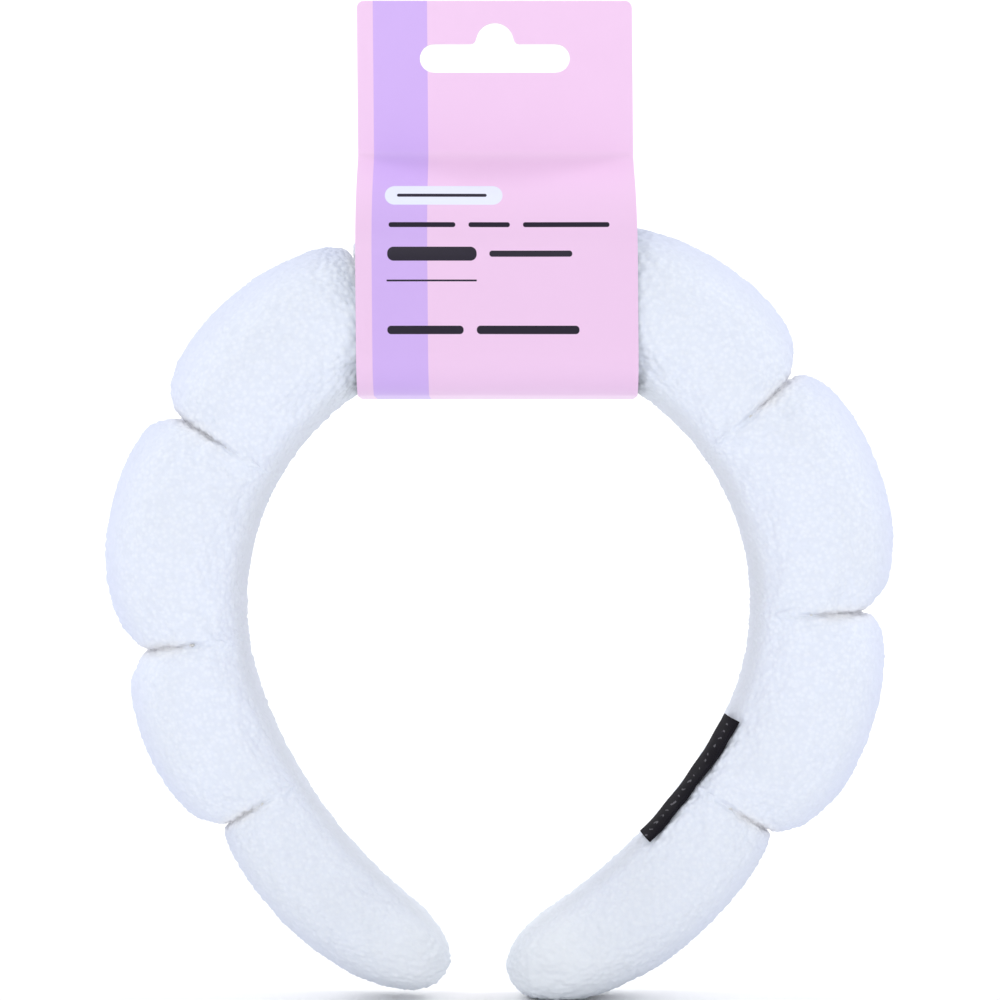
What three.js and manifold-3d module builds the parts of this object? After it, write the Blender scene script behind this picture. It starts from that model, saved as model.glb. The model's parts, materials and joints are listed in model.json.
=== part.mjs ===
// Puffy terry spa headband on its retail header card, in millimetres.
// +Z is up, -Y is the front, and the origin is on the floor midway under the band.
//
// The band is a hoop that goes over the head from above. A flexible plastic core runs along its
// inner side, foam lobes sit round the core, and a terry cover is cinched by eight thread loops
// into nine bubbles. The band bends at the cinches, so core, foam and cover are divided there.

import * as THREE from "three";
import { ParametricGeometry } from "three/addons/geometries/ParametricGeometry.js";
import { mergeVertices } from "three/addons/utils/BufferGeometryUtils.js";
import Module from "manifold-3d";

const wasm = await Module();
wasm.setup();

// ---------------------------------------------------------------- driving sizes

// Inner face of the band, seen from the front: a round hoop that runs on into two flatter legs.
// Every place along it is s, the length along the inner face from the top: + right, - left.
const hoopRadius = 54.6;
const legs = {
  left: { sign: -1, hoopAngle: 110, legRadius: 104, length: 176 },
  right: { sign: 1, hoopAngle: 119, legRadius: 113.6, length: 182.6 },
};

// Where the thread loops cinch the cover, from the top down, and how thick the band is there.
const cinches = {
  left: { at: [21.7, 57.2, 92.9, 125.8], thickness: [26.5, 23.7, 21.4, 18.9] },
  right: { at: [14.3, 50.8, 87.6, 126.4], thickness: [26.5, 23.8, 23.4, 20.6] },
};

// The bubbles between the cinches: thickness outwards from the inner face, and half their depth.
const bubbleNames = ["upper", "middle", "lower", "end"];
const crownSize = { thickness: 33.5, halfDepth: 20.5 };
const bubbleSizes = {
  left: { thickness: [33.8, 31.0, 27.6, 21.8], halfDepth: [20.5, 20, 18.5, 15.5] },
  right: { thickness: [33.5, 32.3, 29.9, 23.6], halfDepth: [20.5, 20, 18.5, 15.5] },
};
const cinchedDepthShare = 0.93; // half depth at a cinch against the bubbles beside it
const pinch = { share: 0.3, from: 4, to: 11 }; // the thread draws the outer half in by this share
const footFlat = 0.7; // the lower tip is pressed flat by this much where it stands
const tipLength = 13; // the last of each leg is rounded off over this length
const tipThickness = 18;
const tipHalfDepth = 12.5;
const sectionPower = 2.6; // 2 is an ellipse, and more is squarer
const bubblePower = 2.8;

const terryThickness = 2.4;
const coreWidth = 10;
const coreThickness = 1.8;
const coreDepthIn = 5.5; // from the inner face to the middle of the core
const coreEndInset = 9; // the core stops this short of each leg's tip

const seatGap = 0.3; // between pieces that lie against each other
const threadRadius = 0.5;
const knotRadius = 0.75;
const stitchDepthIn = 11; // where the thread goes through the band, from the inner face
const cinchGap = 1; // half the gap that the thread sits in

// Bending at each cinch, as a share of the bending at the top one.
const openingAngle = 7.5;
const bendShares = [1, 0.85, 0.6, 0.25];
const bendMargin = 0.5;

// Woven label on the inside of the right leg, rolled over its front corner.
const label = { from: 108.5, to: 141, frontAngle: 218, backAngle: 267, thickness: 0.6 };

// Header card: one sheet, folded under the top of the band and glued to itself above it.
const card = {
  width: 60,
  board: 0.4,
  clearance: 0.8, // between the card's panels and the crown bubble
  shoulderDrop: 15.1, // the panels stand apart up to this far below the bubble's top
  shoulderEase: 15,
  headroom: 9.9, // from the bubble's top to where the panels are glued together
  glueEase: 5,
  panelHeight: 33.8, // of the glued part
  foldRadius: 9.5,
  cornerRadius: 1.6,
  centre: -0.2,
};
const slot = { width: 32.5, height: 6, bumpWidth: 9, bumpHeight: 4.9, below: 9.4, offset: 0.3 };

// Heights of the card above the hoop's centre. The band rests on the fold at the card's sides.
const crownTop = hoopRadius + crownSize.thickness;
const cardShoulder = crownTop - card.shoulderDrop;
const cardGlue = crownTop + card.headroom;
const cardTop = cardGlue + card.panelHeight;
const cardFold = Math.sqrt(hoopRadius ** 2 - (card.width / 2 + Math.abs(card.centre)) ** 2)
  - seatGap - card.board;

const past = 3; // cutters run this far past the faces they cut

// Facets: points round a section, and stations along a bubble from -1 to 1.
const outsideFacets = {
  around: 18,
  along: [-1, -0.95, -0.8, -0.55, -0.2, 0.2, 0.55, 0.8, 0.95, 1],
};
const insideFacets = { around: 12, along: [-1, -0.9, -0.65, -0.25, 0.25, 0.65, 0.9, 1] };

// ---------------------------------------------------------------- solids and cuts

// A three.js geometry as a manifold-3d solid, without the slivers that closed poles leave.
function solidOf(geometry) {
  const bare = new THREE.BufferGeometry().setAttribute("position", geometry.getAttribute("position"));
  if (geometry.index) bare.setIndex(geometry.index);
  const merged = mergeVertices(bare, 1e-4);
  const index = merged.index.array;
  const kept = [];
  for (let i = 0; i < index.length; i += 3) {
    const [a, b, c] = index.slice(i, i + 3);
    if (a !== b && b !== c && c !== a) kept.push(a, b, c);
  }
  return new wasm.Manifold(new wasm.Mesh({
    numProp: 3,
    vertProperties: new Float32Array(merged.attributes.position.array),
    triVerts: new Uint32Array(kept),
  }));
}

function geometryOf(solid) {
  const mesh = solid.getMesh();
  return new THREE.BufferGeometry()
    .setAttribute("position", new THREE.BufferAttribute(new Float32Array(mesh.vertProperties), 3))
    .setIndex(new THREE.BufferAttribute(new Uint32Array(mesh.triVerts), 1));
}

// A closed solid through the rings of pointAt(station, turn), turn going once round from 0 to 1.
function loft(stations, sides, pointAt) {
  const rows = stations.length - 1;
  const surface = (turn, run, target) => {
    target.copy(pointAt(stations[Math.round(run * rows)], turn % 1));
  };
  return solidOf(new ParametricGeometry(surface, sides, rows));
}

// ---------------------------------------------------------------- the band's line

const radians = THREE.MathUtils.degToRad;
const lerp = THREE.MathUtils.lerp;

// The inner face's point, outward normal and direction of growing s, at s.
function lineAt(s) {
  const leg = s < 0 ? legs.left : legs.right;
  const hoopLength = radians(leg.hoopAngle) * hoopRadius;
  const onHoop = Math.abs(s) <= hoopLength;
  const turn = onHoop
    ? s / hoopRadius
    : leg.sign * (radians(leg.hoopAngle) + (Math.abs(s) - hoopLength) / leg.legRadius);
  const out = new THREE.Vector3(Math.sin(turn), 0, Math.cos(turn));
  const centre = new THREE.Vector3();
  const radius = onHoop ? hoopRadius : leg.legRadius;
  if (!onHoop) {
    const joint = leg.sign * radians(leg.hoopAngle);
    const shift = hoopRadius - leg.legRadius;
    centre.add(new THREE.Vector3(Math.sin(joint), 0, Math.cos(joint)).multiplyScalar(shift));
  }
  return {
    point: centre.addScaledVector(out, radius),
    out,
    forward: new THREE.Vector3(Math.cos(turn), 0, -Math.sin(turn)),
  };
}

// A point of the band: s along it, inFromFace outwards from the inner face, y across it.
function place(s, inFromFace, y) {
  const { point, out } = lineAt(s);
  return point.clone().addScaledVector(out, inFromFace).setY(y);
}

// ---------------------------------------------------------------- bubbles

// The nine bubbles, left tip to right tip: their ends in s, and the sizes at and between them.
function listBubbles() {
  const found = [];
  const side = (name) => {
    const { sign, length } = legs[name];
    const { at, thickness } = cinches[name];
    bubbleNames.forEach((bubble, i) => {
      const last = i === bubbleNames.length - 1;
      found.push({
        name: `${name}_${bubble}`,
        side: name,
        sign,
        order: i + 1,
        start: sign * at[i],
        end: sign * (last ? length : at[i + 1]),
        last,
        startThickness: thickness[i],
        endThickness: last ? tipThickness : thickness[i + 1],
        peak: bubbleSizes[name].thickness[i],
        halfDepth: bubbleSizes[name].halfDepth[i],
        nextDepth: last ? tipHalfDepth : bubbleSizes[name].halfDepth[i + 1],
        beforeDepth: i ? bubbleSizes[name].halfDepth[i - 1] : crownSize.halfDepth,
      });
    });
  };
  side("left");
  found.push({
    name: "crown",
    sign: 1,
    order: 0,
    start: -cinches.left.at[0],
    end: cinches.right.at[0],
    last: false,
    startThickness: cinches.left.thickness[0],
    endThickness: cinches.right.thickness[0],
    peak: crownSize.thickness,
    halfDepth: crownSize.halfDepth,
    nextDepth: bubbleSizes.right.halfDepth[0],
    beforeDepth: bubbleSizes.left.halfDepth[0],
  });
  side("right");
  return found;
}

// How far a bubble has swelled at x, -1 at its start and 1 at its end.
function swell(bubble, x) {
  const closing = bubble.last && x > 0 ? 0 : Math.abs(x) ** bubblePower;
  return Math.sqrt(Math.max(0, 1 - closing));
}

// Size of the band's section in a bubble at x: thickness, half depth and how hard it is pinched.
function sectionSize(bubble, x) {
  const rise = swell(bubble, x);
  const share = (x + 1) / 2;
  const ease = share * share * (3 - 2 * share);
  if (bubble.last && x > 0) {
    return {
      thickness: lerp(bubble.peak, tipThickness, x * x),
      halfDepth: lerp(bubble.halfDepth, tipHalfDepth, x * x),
      pinched: 0,
    };
  }
  const neckThickness = lerp(bubble.startThickness, bubble.endThickness, ease);
  const neckDepth = cinchedDepthShare * (x < 0
    ? (bubble.beforeDepth + bubble.halfDepth) / 2
    : (bubble.halfDepth + bubble.nextDepth) / 2);
  return {
    thickness: lerp(neckThickness, bubble.peak, rise),
    halfDepth: lerp(neckDepth, bubble.halfDepth, rise),
    pinched: 1 - rise,
  };
}

// A point of a section of that size, inset by wall: turn 0 is the back, 0.25 the outer side.
function sectionPoint(size, turn, wall) {
  const angle = 2 * Math.PI * turn;
  const bend = (value) => Math.sign(value) * Math.abs(value) ** (2 / sectionPower);
  const half = size.thickness / 2;
  const inFromFace = half + (half - wall) * bend(Math.sin(angle));
  const drawn = THREE.MathUtils.smoothstep(inFromFace, pinch.from, pinch.to) * pinch.share;
  const y = (size.halfDepth - wall) * bend(Math.cos(angle)) * (1 - drawn * size.pinched);
  return { inFromFace, y };
}

// Stations of a bubble's loft: flat ends at the cinches, a rounded end at a leg's tip.
function bubbleStations(bubble, along, wall, reach) {
  const length = bubble.end - bubble.start;
  const stations = along.map((x) => ({ x, s: bubble.start + (length * (x + 1)) / 2, scale: 1 }));
  const unit = Math.sign(length);
  stations[0].s -= unit * reach;
  stations.unshift({ ...stations[0], scale: 0 });
  if (!bubble.last) {
    stations[stations.length - 1].s += unit * reach;
    stations.push({ ...stations[stations.length - 1], scale: 0 });
    return stations;
  }
  const rounding = tipLength - wall;
  const roundFrom = Math.abs(bubble.end) - tipLength;
  const straight = stations.filter((station) => Math.abs(station.s) < roundFrom);
  for (const share of [0, 0.4, 0.7, 0.9, 1]) {
    const s = unit * (roundFrom + rounding * share);
    const x = (2 * (s - bubble.start)) / length - 1;
    straight.push({ x, s, scale: Math.sqrt(1 - share * share) });
  }
  return straight;
}

// A whole bubble of the band, inset by wall and carried on past its cinches by reach.
function bubbleSolid(bubble, facets, wall, reach) {
  const stations = bubbleStations(bubble, facets.along, wall, reach);
  return loft(stations, facets.around, (station, turn) => {
    const size = sectionSize(bubble, station.x);
    const { inFromFace, y } = sectionPoint(size, bubble.sign > 0 ? turn : 1 - turn, wall);
    const middle = size.thickness / 2;
    return place(station.s, lerp(middle, inFromFace, station.scale), y * station.scale);
  });
}

// The hinge at a bubble's start: its place and its outward direction there.
function hingeAt(s) {
  const { out, forward } = lineAt(s);
  return { pivot: place(s, coreDepthIn, 0), out, forward };
}

// Cuts a bubble's piece square at its end cinch, and at its start cinch with the wedge of room
// that it needs to swing open.
function trimAtCinches(solid, bubble) {
  const cut = (s, sign, opening) => {
    const { pivot, forward } = hingeAt(s);
    const facing = forward.clone().multiplyScalar(sign);
    facing.applyAxisAngle(new THREE.Vector3(0, 1, 0), radians(opening) * sign);
    const offset = facing.dot(pivot) + cinchGap;
    solid = solid.trimByPlane([facing.x, facing.y, facing.z], offset);
  };
  const unit = Math.sign(bubble.end - bubble.start);
  if (bubble.order === 0) cut(bubble.start, unit, 0);
  else cut(bubble.start, unit, openingAngle * bendShares[bubble.order - 1] + bendMargin);
  if (!bubble.last) cut(bubble.end, -unit, 0);
  return solid;
}

// ---------------------------------------------------------------- core, thread, label, card

// A flat strip along the inside of a bubble. grow widens it all round, for the slot it lies in.
function stripSolid(bubble, grow, reach) {
  const unit = Math.sign(bubble.end - bubble.start);
  const start = bubble.start - unit * reach;
  const end = bubble.last
    ? bubble.end - unit * (coreEndInset - grow)
    : bubble.end + unit * reach;
  const count = 8;
  const stations = Array.from({ length: count + 1 }, (_, i) => ({
    s: lerp(start, end, i / count),
    scale: 1,
  }));
  stations.unshift({ s: start, scale: 0 });
  stations.push({ s: end, scale: 0 });
  const corners = [[1, 1], [-1, 1], [-1, -1], [1, -1]];
  return loft(stations, corners.length, (station, turn) => {
    const at = Math.round(turn * corners.length) % corners.length;
    const corner = corners[bubble.sign > 0 ? at : corners.length - 1 - at];
    const inFromFace = coreDepthIn + (coreThickness / 2 + grow) * corner[1] * station.scale;
    return place(station.s, inFromFace, (coreWidth / 2 + grow) * corner[0] * station.scale);
  });
}

// A round section to sweep along a path.
function disc(radius, sides) {
  const points = Array.from({ length: sides }, (_, i) => {
    const angle = (2 * Math.PI * i) / sides;
    return new THREE.Vector2(radius * Math.cos(angle), radius * Math.sin(angle));
  });
  return new THREE.Shape(points);
}

// The thread loop of a cinch, between the ends of the two covers: from its knot at the front,
// round the outside to the back, and straight through the band to the knot again.
function threadSolid(bubble) {
  const x = (2 * cinchGap) / Math.abs(bubble.end - bubble.start) - 1;
  const coverEnd = sectionSize(bubble, x);
  const points = [];
  const turns = 8;
  for (let i = 0; i <= turns; i += 1) {
    const turn = lerp(0.46, 0.04, i / turns);
    const { inFromFace, y } = sectionPoint(coverEnd, turn, terryThickness / 2);
    points.push(place(bubble.start, Math.max(inFromFace, stitchDepthIn), y));
  }
  const front = place(bubble.start, stitchDepthIn, points[0].y);
  const back = place(bubble.start, stitchDepthIn, points[turns].y);
  const path = new THREE.CatmullRomCurve3([front, ...points.slice(1, turns), back]);
  const section = disc(threadRadius, 5);
  const sweep = (extrudePath, steps) => {
    return solidOf(new THREE.ExtrudeGeometry(section, { steps, bevelEnabled: false, extrudePath }));
  };
  const knots = [front, back].map((at) => {
    const ball = new THREE.SphereGeometry(knotRadius, 6, 4);
    return solidOf(ball.translate(at.x, at.y, at.z));
  });
  const through = sweep(new THREE.LineCurve3(back, front), 1);
  return sweep(path, 13).add(through).add(knots[0]).add(knots[1]);
}

// The bubble that s lies in, and x there.
function bubbleAt(bubbles, s) {
  const bubble = bubbles.find((b) => (s - b.start) * (s - b.end) <= 0);
  return { bubble, x: (2 * (s - bubble.start)) / (bubble.end - bubble.start) - 1 };
}

// The woven label, bent over the inner face and its front corner, on the pile's surface.
function labelSolid(bubbles) {
  const across = 4;
  const rows = 8;
  const edge = [];
  for (let i = 0; i <= across; i += 1) edge.push({ share: i / across, lift: seatGap + label.thickness });
  for (let i = across; i >= 0; i -= 1) edge.push({ share: i / across, lift: seatGap });
  const stations = Array.from({ length: rows + 1 }, (_, i) => ({
    s: lerp(label.from, label.to, i / rows),
    scale: 1,
  }));
  stations.unshift({ ...stations[0], scale: 0 });
  stations.push({ ...stations[rows + 1], scale: 0 });
  return loft(stations, edge.length, (station, turn) => {
    const { bubble, x } = bubbleAt(bubbles, station.s);
    const size = sectionSize(bubble, x);
    const middle = labelPoint(size, 0.5, seatGap + label.thickness / 2);
    const at = edge[Math.round(turn * edge.length) % edge.length];
    const corner = labelPoint(size, at.share, at.lift);
    return place(
      station.s,
      lerp(middle.inFromFace, corner.inFromFace, station.scale),
      lerp(middle.y, corner.y, station.scale),
    );
  });
}

// A point over the section, share of the way from the label's front edge to its back edge.
function labelPoint(size, share, lift) {
  const turn = lerp(label.frontAngle, label.backAngle, share) / 360;
  return sectionPoint({ ...size, pinched: 0 }, turn, -lift);
}

// The card's outline from the side, in y and height, set in from its outside by inset.
function cardOutline(inset) {
  const half = crownSize.halfDepth + card.clearance + card.board - inset;
  const radius = card.foldRadius - inset;
  const neck = card.board - inset;
  const bottom = cardFold + inset;
  const top = inset ? cardGlue - inset : cardTop;
  const glue = Math.min(top, cardGlue);
  const easeOut = cardGlue - card.glueEase;
  const easeIn = cardShoulder + card.shoulderEase;
  const outline = new THREE.Shape();
  outline.moveTo(neck, top);
  outline.lineTo(-neck, top);
  if (!inset) outline.lineTo(-neck, glue);
  outline.bezierCurveTo(-neck - 2.6, easeOut, -half, easeIn, -half, cardShoulder);
  outline.lineTo(-half, bottom + radius);
  outline.absarc(radius - half, bottom + radius, radius, Math.PI, 1.5 * Math.PI);
  outline.absarc(half - radius, bottom + radius, radius, 1.5 * Math.PI, 2 * Math.PI);
  outline.lineTo(half, cardShoulder);
  outline.bezierCurveTo(half, easeIn, neck + 2.6, easeOut, neck, glue);
  return outline;
}

// A sheet's side outline swept along x, over a width.
function sweepAcross(outline, width) {
  const geometry = new THREE.ExtrudeGeometry(outline, {
    depth: width,
    bevelEnabled: false,
    curveSegments: 6,
  });
  const turned = new THREE.Matrix4().makeBasis(
    new THREE.Vector3(0, 1, 0),
    new THREE.Vector3(0, 0, 1),
    new THREE.Vector3(1, 0, 0),
  );
  return solidOf(geometry.applyMatrix4(turned).translate(card.centre - width / 2, 0, 0));
}

// The hang slot: a long slot with a bump in the middle of its top edge.
function slotShape() {
  const shape = new THREE.Shape();
  const end = slot.height / 2;
  const reach = slot.width / 2 - end;
  const bump = slot.bumpWidth / 2;
  shape.moveTo(-reach, -end);
  shape.lineTo(reach, -end);
  shape.absarc(reach, 0, end, -Math.PI / 2, Math.PI / 2);
  shape.lineTo(bump + 2, end);
  shape.quadraticCurveTo(bump + 0.4, end, bump - 0.6, end + slot.bumpHeight * 0.6);
  shape.quadraticCurveTo(bump - 1.4, end + slot.bumpHeight, 0, end + slot.bumpHeight);
  shape.quadraticCurveTo(1.4 - bump, end + slot.bumpHeight, 0.6 - bump, end + slot.bumpHeight * 0.6);
  shape.quadraticCurveTo(-bump - 0.4, end, -bump - 2, end);
  shape.lineTo(-reach, end);
  shape.absarc(-reach, 0, end, Math.PI / 2, (3 * Math.PI) / 2);
  return shape;
}

// What rounds off a top corner of the card: the square less its quarter disc.
function cornerShape(side) {
  const radius = card.cornerRadius;
  const shape = new THREE.Shape();
  shape.moveTo(-side * radius, 1);
  shape.lineTo(-side * radius, 0);
  shape.absarc(-side * radius, -radius, radius, Math.PI / 2, side > 0 ? 0 : Math.PI, side > 0);
  shape.lineTo(side, -radius);
  shape.lineTo(side, 1);
  return shape;
}

// A cutter of that shape in x and height, right through the card from front to back.
function punch(shape, x, height) {
  const depth = 4 * past;
  const geometry = new THREE.ExtrudeGeometry(shape, {
    depth,
    bevelEnabled: false,
    curveSegments: 4,
  });
  geometry.rotateX(Math.PI / 2).translate(card.centre + x, depth / 2, height);
  return solidOf(geometry);
}

function cardSolid() {
  const inside = sweepAcross(cardOutline(card.board), card.width + 2 * past);
  let made = sweepAcross(cardOutline(0), card.width).subtract(inside);
  const slotHeight = cardTop - slot.below - slot.height / 2;
  made = made.subtract(punch(slotShape(), slot.offset, slotHeight));
  for (const side of [-1, 1]) {
    made = made.subtract(punch(cornerShape(side), (side * card.width) / 2, cardTop));
  }
  return made;
}

// ---------------------------------------------------------------- assembly

const looks = {
  terry: { color: 0xe8eefb, roughness: 0.95, metalness: 0 },
  foam: { color: 0xf2ecd8, roughness: 0.9, metalness: 0 },
  core: { color: 0xdfe3e6, roughness: 0.4, metalness: 0 },
  thread: { color: 0xe6e4da, roughness: 0.8, metalness: 0 },
  label: { color: 0x0b0b0d, roughness: 0.7, metalness: 0 },
  card: { color: 0xf8d6f8, roughness: 0.45, metalness: 0 },
};

const headband = new THREE.Group();

function addPiece(name, solid, look) {
  const material = new THREE.MeshStandardMaterial(looks[look]);
  const mesh = new THREE.Mesh(geometryOf(solid), material);
  mesh.name = name;
  headband.add(mesh);
}

const bubbles = listBubbles();
const covers = bubbles.map((bubble) => {
  const outside = bubbleSolid(bubble, outsideFacets, 0, 0);
  const hollow = bubbleSolid(bubble, insideFacets, terryThickness, past);
  return trimAtCinches(outside.subtract(hollow), bubble);
});

// The part stands on its tips, so the floor is just above the end of the lower one.
const tips = covers.filter((cover, i) => bubbles[i].last);
const floor = Math.min(...tips.map((tip) => tip.boundingBox().min[2])) + footFlat;

bubbles.forEach((bubble, i) => {
  addPiece(`terry_${bubble.name}`, covers[i].trimByPlane([0, 0, 1], floor), "terry");
  const foam = bubbleSolid(bubble, insideFacets, terryThickness + seatGap, 0);
  const channel = stripSolid(bubble, seatGap, past);
  addPiece(`foam_${bubble.name}`, trimAtCinches(foam.subtract(channel), bubble), "foam");
  addPiece(`core_${bubble.name}`, trimAtCinches(stripSolid(bubble, 0, 0), bubble), "core");
  if (bubble.order) {
    addPiece(`cinch_thread_${bubble.side}_${bubble.order}`, threadSolid(bubble), "thread");
  }
});
addPiece("woven_label", labelSolid(bubbles), "label");
addPiece("header_card", cardSolid(), "card");

// The origin is on the floor, under the middle of the whole.
const middle = new THREE.Box3().setFromObject(headband).getCenter(new THREE.Vector3());
headband.position.set(-middle.x, -middle.y, -floor);

export default headband;
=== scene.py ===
import json
import math

import bpy
import numpy as np
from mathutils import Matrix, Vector


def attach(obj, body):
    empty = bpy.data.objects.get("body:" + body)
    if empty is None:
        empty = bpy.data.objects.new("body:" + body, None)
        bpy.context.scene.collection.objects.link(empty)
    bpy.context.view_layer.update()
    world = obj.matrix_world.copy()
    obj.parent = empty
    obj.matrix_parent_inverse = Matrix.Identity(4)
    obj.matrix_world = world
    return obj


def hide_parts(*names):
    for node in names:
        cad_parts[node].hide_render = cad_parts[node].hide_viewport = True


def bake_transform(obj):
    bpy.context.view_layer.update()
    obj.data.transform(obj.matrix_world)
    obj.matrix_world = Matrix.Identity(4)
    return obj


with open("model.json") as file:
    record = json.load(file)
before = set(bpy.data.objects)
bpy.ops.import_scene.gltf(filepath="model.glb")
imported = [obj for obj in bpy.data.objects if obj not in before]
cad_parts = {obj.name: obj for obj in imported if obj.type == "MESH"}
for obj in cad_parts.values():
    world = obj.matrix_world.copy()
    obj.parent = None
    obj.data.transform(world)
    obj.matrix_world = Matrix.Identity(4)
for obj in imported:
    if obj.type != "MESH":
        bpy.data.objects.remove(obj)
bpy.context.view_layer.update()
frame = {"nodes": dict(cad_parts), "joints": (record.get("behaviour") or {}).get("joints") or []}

mm = 0.001

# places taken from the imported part
joints = {j["name"]: j for j in frame["joints"]}
hoopCentre = Vector(joints["card_swing"]["pos_m"])


# helpers used all over

def deselectAll():
    if bpy.context.object and bpy.context.object.mode != "OBJECT":
        bpy.ops.object.mode_set(mode="OBJECT")
    bpy.ops.object.select_all(action="DESELECT")


def pick(obj):
    deselectAll()
    obj.select_set(True)
    bpy.context.view_layer.objects.active = obj


def settle(obj):  # place, turn and size go into the mesh
    pick(obj)
    bpy.ops.object.transform_apply(location=True, rotation=True, scale=True)


def finishModifiers(obj):
    pick(obj)
    for modifier in list(obj.modifiers):
        bpy.ops.object.modifier_apply(modifier=modifier.name)


def pointsOf(obj):
    flat = np.empty(len(obj.data.vertices) * 3)
    obj.data.vertices.foreach_get("co", flat)
    return flat.reshape(-1, 3)


def movePoints(obj, points):
    obj.data.vertices.foreach_set("co", np.ascontiguousarray(points, dtype=np.float32).ravel())
    obj.data.update()


def smoothStep(low, high, value):
    t = np.clip((value - low) / (high - low), 0, 1)
    return t * t * (3 - 2 * t)


# the line of the band: distance s from the top along the inner face, right is plus, in mm

line = {
    "hoopRadius": 54.6,
    "left": {"sign": -1, "hoopAngle": 110, "legRadius": 104, "length": 176},
    "right": {"sign": 1, "hoopAngle": 119, "legRadius": 113.6, "length": 182.6},
}
cinches = {  # the lean is how far the outer end of a crease sits along the band from its inner end
    "left": {"at": [21.7, 57.2, 92.9, 125.8], "thickness": [26.5, 24.0, 21.6, 18.8],
             "lean": [0, -0.3, 0, 0]},
    "right": {"at": [14.3, 50.8, 87.6, 126.4], "thickness": [26.5, 24.0, 23.4, 20.4],
              "lean": [0, -1.0, -0.7, -0.7]},
    "leanSpread": 11,
    "leanFrom": 0.4,  # share of the thickness where the lean starts
}
cinchMarks = sorted([-at for at in cinches["left"]["at"]] + cinches["right"]["at"])
plump = {  # each bubble's thickness outwards and half its depth, in mm
    "crown": (33.3, 19.6),
    "left": [(33.4, 20.1), (31.6, 20.0), (27.6, 18.5), (22.6, 15.5)],
    "right": [(33.4, 20.1), (32.6, 20.0), (30.4, 18.5), (24.3, 15.5)],
    "skew": {"left": (0, 0.28, 0.2, 0.25), "right": (0.05, 0.12, 0.2, 0.2)},  # fuller towards the top
    "tip": (17.6, 12.5),
    "tipLength": 13,
    "squareness": 2.35,
    "innerSquareness": 3.7,  # the core strip holds the inner side flatter
    "innerEase": 0.7,
    "bulge": 2.9,
    "neckDepth": 0.985,
    "creaseDrawIn": 0.24,
    "shoulder": 2.2,  # how far from the cinch the sides start to round in
    "creaseFrom": 0.42,  # share of the thickness where the crease starts
    "creaseTo": 0.72,
}


def arcAt(s):
    leg = line["left"] if s < 0 else line["right"]
    radius = line["hoopRadius"]
    onHoop = math.radians(leg["hoopAngle"]) * radius
    if abs(s) <= onHoop:
        return s / radius, radius, (0.0, 0.0)
    turn = leg["sign"] * (math.radians(leg["hoopAngle"]) + (abs(s) - onHoop) / leg["legRadius"])
    corner = leg["sign"] * math.radians(leg["hoopAngle"])
    shift = radius - leg["legRadius"]
    return turn, leg["legRadius"], (math.sin(corner) * shift, math.cos(corner) * shift)


def placeAt(s, inFromFace, y):  # metres in the part's frame, from mm along and across the band
    turn, radius, centre = arcAt(s)
    reach = radius + inFromFace
    return Vector((
        hoopCentre.x + (centre[0] + math.sin(turn) * reach) * mm,
        y * mm,
        hoopCentre.z + (centre[1] + math.cos(turn) * reach) * mm,
    ))


def forwardAt(s):
    turn = arcAt(s)[0]
    return Vector((math.cos(turn), 0, -math.sin(turn)))


bubbleRuns = []  # name, start, end, neck thickness at each, plumpness, depth of each neighbour
for side in ("left", "right"):
    sign = line[side]["sign"]
    at, neck = cinches[side]["at"], cinches[side]["thickness"]
    for i in range(4):
        last = i == 3
        bubbleRuns.append({
            "name": side + "_" + ("upper", "middle", "lower", "end")[i],
            "start": sign * at[i],
            "end": sign * (line[side]["length"] if last else at[i + 1]),
            "last": last,
            "neck": (neck[i], plump["tip"][0] if last else neck[i + 1]),
            "plump": plump[side][i],
            "skew": plump["skew"][side][i],
            "depths": (plump[side][i - 1][1] if i else plump["crown"][1],
                       plump["tip"][1] if last else plump[side][i + 1][1]),
        })
bubbleRuns.append({
    "name": "crown", "start": -cinches["left"]["at"][0], "end": cinches["right"]["at"][0],
    "last": False, "neck": (cinches["left"]["thickness"][0], cinches["right"]["thickness"][0]),
    "plump": plump["crown"], "skew": 0, "depths": (plump["left"][0][1], plump["right"][0][1]),
})


def bubbleAt(s):
    for run in bubbleRuns:
        low, high = sorted((run["start"], run["end"]))
        if low <= s <= high:
            return run, 2 * (s - run["start"]) / (run["end"] - run["start"]) - 1
    run = bubbleRuns[3] if s < 0 else bubbleRuns[7]
    return run, 1.0


def sizeAt(s):  # thickness, half depth and how far the crease is drawn in
    run, x = bubbleAt(s)
    x += run["skew"] * (1 - x * x)
    if run["last"] and x > 0:
        thick = run["plump"][0] + (plump["tip"][0] - run["plump"][0]) * x * x
        deep = run["plump"][1] + (plump["tip"][1] - run["plump"][1]) * x * x
        return thick, deep, 0.0
    rise = math.sqrt(max(0.0, 1 - abs(x) ** plump["bulge"]))
    share = (x + 1) / 2
    ease = share * share * (3 - 2 * share)
    neck = run["neck"][0] + (run["neck"][1] - run["neck"][0]) * ease
    beside = run["depths"][0] if x < 0 else run["depths"][1]
    neckDeep = plump["neckDepth"] * (run["plump"][1] + beside) / 2
    thick = neck + (run["plump"][0] - neck) * rise
    deep = neckDeep + (run["plump"][1] - neckDeep) * (1 - x * x) ** 2
    return thick, deep, 1 - math.sqrt(max(0.0, 1 - abs(x) ** plump["shoulder"]))


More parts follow.
